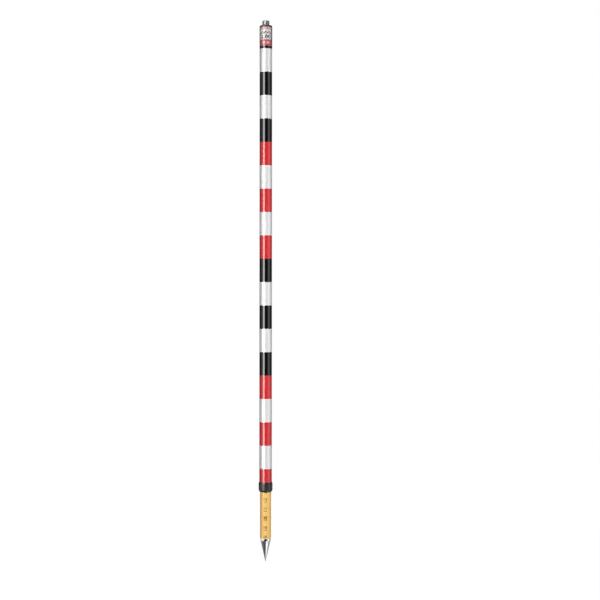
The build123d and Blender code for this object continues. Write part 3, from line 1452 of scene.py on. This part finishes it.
@dataclass
class PrismHead:
    """Dark flanged plug in the top of the tube, and the threaded stud that takes the prism.

    The thread's crest and flank are shares of half its pitch.
    """

    flange_easing: float = 0.4 * MM
    foot_easing: float = 0.3 * MM
    corner_steps: int = 6
    spigot_radius: float = 7.0 * MM
    plug_gap: float = 0.02 * MM
    seat_relief: float = 0.9 * MM
    seat_easing: float = 0.15 * MM
    bore_easing: float = 0.1 * MM
    thread_pitch: float = 25.4 / 11 * MM
    thread_depth: float = 1.25 * MM
    thread_crest: float = 0.14
    thread_flank: float = 0.72
    thread_points: int = 97
    thread_rows: int = 245
    row_margin: float = 1e-4
    stud_lead: float = 1.2 * MM
    relief_reach: float = 1.0 * MM
    relief_radius: float = 6.84 * MM

    def build_plug(self) -> bpy.types.Mesh:
        """Turns the plug.

        Returns:
            The mesh of the plug.
        """
        plug = Place.of("head_plug")
        stud = Place.of("prism_stud")
        tube = Place.of("outer_tube")
        bumper_top = Place.of("closing_bumper").top
        shank = Place.of("slide_bush").radius
        spigot = self.spigot_radius - self.plug_gap
        bore = stud.radius + self.plug_gap
        outline = eased(
            [
                (0.0, plug.foot, 0.0),
                (spigot, plug.foot, self.foot_easing),
                (spigot, bumper_top, 0.0),
                (shank, bumper_top, self.foot_easing),
                (shank, tube.top, 0.0),
                (plug.radius, tube.top, self.foot_easing),
                (plug.radius, plug.top, self.flange_easing),
                (bore + self.seat_relief, plug.top, self.seat_easing),
                (bore, plug.top - self.seat_relief, self.bore_easing),
                (bore, stud.foot, 0.0),
                (0.0, stud.foot, 0.0),
            ],
            self.corner_steps,
        )
        return turned_mesh("head_flange", [outline])

    def build_stud(self, steel: bpy.types.Material) -> bpy.types.Mesh:
        """Cuts the thread along the stud, down to the run-out groove at the seat.

        A sheet is rolled round the axis. Its first and last rows close the ends.

        Args:
            steel: Finish of the stud.

        Returns:
            The mesh of the stud.
        """
        stud = Place.of("prism_stud")
        recipe = Recipe(
            "stud_thread",
            {
                "Radius": stud.radius,
                "Thread Depth": self.thread_depth,
                "Pitch": self.thread_pitch,
                "Foot": stud.foot,
                "Top": stud.top - SKIN,
                "Lead": self.stud_lead,
                "Seat": Place.of("head_plug").top,
                "Groove Reach": self.relief_reach,
                "Groove Radius": self.relief_radius,
                "Around": self.thread_points,
                "Rows": self.thread_rows,
            },
        )
        grid = {"Size X": 1.0, "Size Y": 1.0, "Vertices X": recipe["Around"], "Vertices Y": recipe["Rows"]}
        sheet = recipe.made("GeometryNodeMeshGrid", grid)
        across, upward, _ = recipe.axes()
        turn = recipe.math("ADD", across, 0.5)
        last_row = recipe.math("SUBTRACT", recipe["Rows"], 1.0)
        row = recipe.math("MULTIPLY", recipe.math("ADD", upward, 0.5), last_row)
        wall_rows = recipe.math("SUBTRACT", recipe["Rows"], 3.0)
        share = recipe.math("DIVIDE", recipe.math("SUBTRACT", row, 1.0), wall_rows)
        length = recipe.math("SUBTRACT", recipe["Top"], recipe["Foot"])
        height = recipe.math("ADD", recipe["Foot"], recipe.math("MULTIPLY", recipe.held(share), length))
        thread = self.threaded_wall(recipe, turn, height)
        wall = recipe.math("MINIMUM", thread, self.turned_wall(recipe, height))
        past_foot = recipe.math("GREATER_THAN", share, -self.row_margin)
        before_top = recipe.math("LESS_THAN", share, 1.0 + self.row_margin)
        radius = recipe.math("MULTIPLY", wall, recipe.math("MULTIPLY", past_foot, before_top))
        angle = recipe.math("MULTIPLY", turn, FULL_TURN)
        rolled = recipe.moved(sheet, recipe.round_the_pole(radius, angle, height))
        closed = recipe.made("GeometryNodeMergeByDistance", {"Geometry": rolled, "Distance": SAME_PLACE})
        return recipe.mesh(closed, steel)

    def threaded_wall(self, recipe: Recipe, turn: Socket, height: Socket) -> Socket:
        """Radius of the thread's flanks, crests and roots.

        Args:
            recipe: The stud's tree.
            turn: Share of a turn round the stud.
            height: Height along the stud.

        Returns:
            The radius.
        """
        rise = recipe.math("SUBTRACT", recipe.math("DIVIDE", height, recipe["Pitch"]), turn)
        phase = recipe.math("FRACT", rise)
        flank = recipe.math("MULTIPLY", recipe.math("ABSOLUTE", recipe.math("SUBTRACT", phase, 0.5)), 2.0)
        past_crest = recipe.math("SUBTRACT", flank, self.thread_crest)
        cut = recipe.held(recipe.math("MULTIPLY", past_crest, 1 / self.thread_flank))
        return recipe.math("SUBTRACT", recipe["Radius"], recipe.math("MULTIPLY", cut, recipe["Thread Depth"]))

    def turned_wall(self, recipe: Recipe, height: Socket) -> Socket:
        """Radius of the blank: a lead at both ends and the groove at the seat.

        Args:
            recipe: The stud's tree.
            height: Height along the stud.

        Returns:
            The radius.
        """
        from_top = recipe.math("SUBTRACT", recipe["Top"], height)
        from_foot = recipe.math("SUBTRACT", height, recipe["Foot"])
        from_end = recipe.math("MINIMUM", from_top, from_foot)
        lead = recipe.math("MAXIMUM", recipe.math("SUBTRACT", recipe["Lead"], from_end), 0.0)
        blank = recipe.math("SUBTRACT", recipe["Radius"], lead)
        from_seat = recipe.math("ABSOLUTE", recipe.math("SUBTRACT", height, recipe["Seat"]))
        past_groove = recipe.math("GREATER_THAN", from_seat, recipe["Groove Reach"])
        return recipe.math("MINIMUM", blank, recipe.math("ADD", recipe["Groove Radius"], past_groove))

    def dress(self) -> None:
        """Builds the plug in dark anodising and the stud in plated steel."""
        dark = WorkedMetal("flange_dark_anodising", (0.075, 0.038, 0.037), roughness=0.5).material()
        steel = WorkedMetal("stud_plated_steel", (0.38, 0.39, 0.39), roughness=0.42).material()
        piece("head_flange", self.build_plug(), Body.UPPER_POLE, dark, "head_plug")
        piece("threaded_stud", self.build_stud(steel), Body.UPPER_POLE, steel, "prism_stud")


@dataclass
class TwistCollar:
    """Moulded collar with a belt of grip pads between two plain lands."""

    lip: float = 3.0 * MM
    mouth_clearance: float = 0.3 * MM
    pocket_clearance: float = 0.1 * MM
    foot_land: float = 0.6 * MM
    foot_taper: float = 4.0 * MM
    top_chamfer: float = 0.6 * MM
    top_taper: float = 4.0 * MM
    land: float = 0.9 * MM
    belt_depth: float = 0.3 * MM
    pad_count: int = 24
    pad_width: float = 2.7 * MM
    pad_root: float = 0.2 * MM
    pad_draft: float = 0.18
    edge_easing: float = 0.35 * MM
    mouth_easing: float = 0.15 * MM
    land_easing: float = 0.12 * MM
    belt_easing: float = 0.08 * MM

    def build_shell(self) -> bpy.types.Mesh:
        """Turns the collar.

        Returns:
            The mesh of the collar without its pads.
        """
        place = Place.of("lock_collar")
        mouth = Place.of("inner_tube").radius + self.mouth_clearance
        pocket = Place.of("outer_tube").radius + self.pocket_clearance
        belt = place.radius - self.belt_depth
        belt_foot, belt_top = self.belt_ends(place)
        outline = eased(
            [
                (mouth, place.foot, self.mouth_easing),
                (mouth + self.foot_land, place.foot, self.edge_easing),
                (place.radius, place.foot + self.foot_taper, self.edge_easing),
                (place.radius, belt_foot, self.land_easing),
                (belt, belt_foot, self.belt_easing),
                (belt, belt_top, self.belt_easing),
                (place.radius, belt_top, self.land_easing),
                (place.radius, place.top - self.top_taper, self.edge_easing),
                (place.radius - self.top_chamfer, place.top, self.edge_easing),
                (pocket, place.top, self.mouth_easing),
                (pocket, place.foot + self.lip, 0.0),
                (mouth, place.foot + self.lip, 0.0),
            ]
        )
        return turned_mesh("collar_shell", [outline])

    def belt_ends(self, place: Place) -> Span:
        """Lower and upper end of the padded belt."""
        return place.foot + self.foot_taper + self.land, place.top - self.top_taper - self.land

    def build_pads(self, polymer: bpy.types.Material) -> bpy.types.Mesh:
        """Sets the grip pads at even steps round the belt.

        Args:
            polymer: Finish of the pads.

        Returns:
            The mesh of all the pads.
        """
        place = Place.of("lock_collar")
        belt_foot, belt_top = self.belt_ends(place)
        recipe = Recipe(
            "grip_pads",
            {
                "Outer Radius": place.radius,
                "Pad Width": self.pad_width,
                "Pad Depth": self.belt_depth + self.pad_root,
                "Pad Height": belt_top - belt_foot,
                "Middle": (belt_foot + belt_top) / 2,
                "Draft": self.pad_draft,
                "Count": self.pad_count,
            },
        )
        size = recipe["Pad Width"], recipe["Pad Depth"], recipe["Pad Height"]
        pad = recipe.bent_block(recipe["Outer Radius"], size, recipe["Middle"], recipe["Draft"])
        return recipe.mesh(recipe.turned_copies(pad, recipe["Count"]), polymer)

    def dress(self) -> None:
        """Builds the collar in black moulded polymer."""
        base, rubbed = (0.009, 0.009, 0.010), (0.018, 0.018, 0.019)
        black = MouldedPolymer("collar_black_polymer", base, rubbed, roughness=0.3).material()
        piece("collar_shell", self.build_shell(), Body.COLLAR, black, "lock_collar")
        piece("collar_pads", self.build_pads(black), Body.COLLAR, black)


@dataclass(frozen=True)
class HiddenWorks:
    """What works inside the pole: these nodes keep their shape and get their finishes."""

    aluminium: WorkedMetal = WorkedMetal("plug_turned_aluminium", (0.75, 0.76, 0.77), roughness=0.3)
    zinc: WorkedMetal = WorkedMetal("fastener_zinc_plate", (0.55, 0.55, 0.56), roughness=0.34)
    brass: WorkedMetal = WorkedMetal("slip_ring_brass", (0.72, 0.52, 0.22), roughness=0.26)
    nylon: MouldedPolymer = MouldedPolymer(
        "bush_nylon", (0.82, 0.81, 0.77), (0.74, 0.73, 0.69), roughness=0.42
    )
    rubber: MouldedPolymer = MouldedPolymer(
        "bumper_rubber", (0.030, 0.030, 0.030), (0.05, 0.05, 0.05), roughness=0.7
    )

    def dress(self) -> None:
        """Gives each hidden node its finish."""
        finishes = {
            self.aluminium: ("tip_socket", "top_plug"),
            self.zinc: ("bush_screw", "bush_washer", "stud_pin", "plug_pins"),
            self.brass: ("thrust_ring",),
            self.nylon: ("slide_bush", "compression_ring"),
            self.rubber: ("closing_bumper",),
        }
        for finish, nodes in finishes.items():
            material = finish.material()
            for node in nodes:
                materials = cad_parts[node].data.materials
                materials.clear()
                materials.append(material)
                LOG.info("%s: finish %s", node, finish.name)


def blank_material(name: str) -> tuple[bpy.types.Material, Bench]:
    """Starts a material without nodes.

    Args:
        name: Name of the material.

    Returns:
        The material and its empty tree.
    """
    material = bpy.data.materials.new(name)
    material.use_nodes = True
    material.node_tree.nodes.clear()
    return material, Bench(material.node_tree)


@dataclass(frozen=True)
class SoftPanel:
    """A soft lamp beside the pole. Bearings count to the right from the camera's side, seen from the pole."""

    name: str
    bearing: float
    distance: float
    width: float
    height: float
    middle: float
    level: float

    def place(self) -> None:
        """Sets the lamp up, facing the pole. Its shine is left to the cards."""
        lamp = bpy.data.lights.new(self.name, "AREA")
        lamp.shape = "RECTANGLE"
        lamp.size = self.width
        lamp.size_y = self.height
        lamp.energy = self.level * math.pi * self.width * self.height
        holder = new_object(self.name, lamp)
        angle = math.radians(self.bearing)
        spot = Vector((math.sin(angle), -math.cos(angle), 0.0)) * self.distance
        holder.rotation_mode = "QUATERNION"
        holder.rotation_quaternion = (-spot).to_track_quat("-Z", "Y")
        holder.location = spot + Vector((0.0, 0.0, self.middle))
        holder.visible_camera = False
        holder.visible_glossy = False


@dataclass(frozen=True)
class Card:
    """A curved card round the pole that only reflections show: dark as a flag, bright as a strip.

    Bearings count to the right from the camera's side, seen from the pole.
    """

    name: str
    start: float
    end: float
    level: float
    tier: CardTier = CardTier.ROOM
    distance: float = 1.8
    facet: float = 6.0

    def place(self) -> None:
        """Stands the card up round the pole."""
        material, bench = blank_material(self.name)
        bench.node("ShaderNodeOutputMaterial", {"Surface": bench.glow(self.level)})
        steps = math.ceil((self.end - self.start) / self.facet)
        points = []
        for step in range(steps + 1):
            angle = math.radians(self.start + (self.end - self.start) * step / steps)
            across = self.distance * math.sin(angle)
            away = -self.distance * math.cos(angle)
            points.extend([(across, away, height) for height in self.tier.value])
        faces = [(foot, foot + 2, foot + 3, foot + 1) for foot in range(0, 2 * steps, 2)]
        mesh = raw_mesh(self.name, points, faces)
        mesh.materials.append(material)
        card = new_object(self.name, mesh)
        card.visible_camera = False
        card.visible_diffuse = False
        card.visible_shadow = False


@dataclass(frozen=True)
class Studio:
    """Pale floor, soft lamps, cards for the gloss and the camera square to the pole."""

    photo_side: float = 600.0  # pixels
    pole_axis: float = 265.72  # pixels from the photo's left edge, half way up
    pole_lean: float = 0.047  # degrees to the right
    seat_line: float = 26.2  # pixels from its top edge, in the plane of the pole's axis
    point_line: float = 561.45
    camera_distance: float = 2.55
    sensor: float = 36.0
    floor_side: float = 40.0
    floor_fade: Span = (0.25, 0.9)
    floor_shadow: float = 0.3
    floor_glow: float = 0.86
    floor_bounce: float = 0.35
    ambient: float = 0.06
    panels: tuple[SoftPanel, ...] = (
        SoftPanel("front_fill", 8, 2.6, width=1.4, height=1.1, middle=0.58, level=13.5),
        SoftPanel("right_fill", 120, 1.8, width=0.8, height=1.7, middle=0.9, level=1.6),
        SoftPanel("left_fill", -120, 1.8, width=0.8, height=1.7, middle=0.9, level=2.0),
        SoftPanel("back_fill", 180, 2.6, width=1.6, height=2.4, middle=1.0, level=5.5),
    )
    cards: tuple[Card, ...] = (
        Card("left_flag", -165, -100, 0.03),
        Card("left_card", -100, -51, 0.6),
        Card("key_strip", -51, -18, 10.0),
        Card("front_flag", -18, 40, 0.02),
        Card("right_card", 40, 80, 1.6),
        Card("right_flag", 80, 165, 0.2),
        Card("floor_left_card", -165, -92, 1.0, CardTier.FLOOR),
        Card("floor_left_strip", -92, -56, 1.8, CardTier.FLOOR),
        Card("floor_front_flag", -56, 52, 0.5, CardTier.FLOOR),
        Card("floor_right_strip", 52, 88, 2.0, CardTier.FLOOR),
        Card("floor_right_flag", 88, 165, 0.6, CardTier.FLOOR),
        Card("low_left_card", -165, -75, 0.4, CardTier.LOW),
        Card("low_front_flag", -75, 12, 0.13, CardTier.LOW),
        Card("low_strip", 12, 66, 1.9, CardTier.LOW),
        Card("low_right_card", 66, 165, 0.65, CardTier.LOW),
    )

    def add_camera(self) -> None:
        """Sets the camera square to the pole, where the photo shows it."""
        seat = Place.of("head_plug").top
        scale = seat / (self.point_line - self.seat_line)
        middle = self.photo_side / 2
        camera = bpy.data.cameras.new("camera")
        camera.sensor_width = self.sensor
        camera.lens = self.sensor * self.camera_distance / (self.photo_side * scale)
        holder = new_object("camera", camera)
        across = (middle - self.pole_axis) * scale
        upward = (self.point_line - middle) * scale
        holder.location = (across, -self.camera_distance, upward)
        holder.rotation_euler = (math.pi / 2, -math.radians(self.pole_lean), 0.0)
        bpy.context.scene.camera = holder

    def add_world(self) -> None:
        """Makes the white ground that the camera and every reflection see, and the room's even light."""
        world = bpy.data.worlds.new("studio")
        bpy.context.scene.world = world
        world.use_nodes = True
        world.node_tree.nodes.clear()
        bench = Bench(world.node_tree)
        ground = bench.tone(bench.sight_ray(), (self.ambient, self.ambient, self.ambient), (1.0, 1.0, 1.0))
        background = bench.made("ShaderNodeBackground", {"Color": ground})
        bench.node("ShaderNodeOutputWorld", {"Surface": background})

    def floor_material(self) -> bpy.types.Material:
        """Makes the floor's finish: white to the camera, with the pole's soft shadow round its point.

        Returns:
            The material.
        """
        material, bench = blank_material("studio_floor")
        place = bench.node("ShaderNodeTexCoord", {}).outputs["Object"]
        reach = bench.node("ShaderNodeVectorMath", {0: place}, operation="LENGTH").outputs["Value"]
        fade = bench.spread(reach, self.floor_fade, interpolation_type="SMOOTHSTEP")
        feeds = {0: bench.matt(self.floor_shadow), 1: bench.glow(self.floor_glow)}
        near = bench.made("ShaderNodeAddShader", feeds)
        seen = bench.blend(fade, near, bench.glow(1.0))
        shown = bench.blend(bench.sight_ray(), bench.matt(self.floor_bounce), seen)
        bench.node("ShaderNodeOutputMaterial", {"Surface": shown})
        return material

    def add_floor(self) -> None:
        """Lays the pale floor."""
        half = self.floor_side / 2
        corners = [(-half, -half, 0), (half, -half, 0), (half, half, 0), (-half, half, 0)]
        mesh = raw_mesh("floor", corners, [(0, 1, 2, 3)])
        mesh.materials.append(self.floor_material())
        floor = new_object("floor", mesh)
        floor.visible_glossy = False

    def set_up(self) -> None:
        """Sets up the whole studio."""
        bpy.context.scene.view_settings.view_transform = "Standard"
        self.add_camera()
        self.add_world()
        self.add_floor()
        for stand in (*self.panels, *self.cards):
            stand.place()
            LOG.info("studio: %s", stand.name)


def main() -> None:
    """Builds and dresses the pole, then sets up the studio."""
    logging.basicConfig(level=logging.INFO, format="%(name)s: %(message)s")
    parts = GroundPoint(), ScaleTube(), BandStack(), HeadLabel(), PrismHead(), TwistCollar(), HiddenWorks()
    for part in parts:
        part.dress()
    Studio().set_up()


if __name__ == "__main__":
    main()
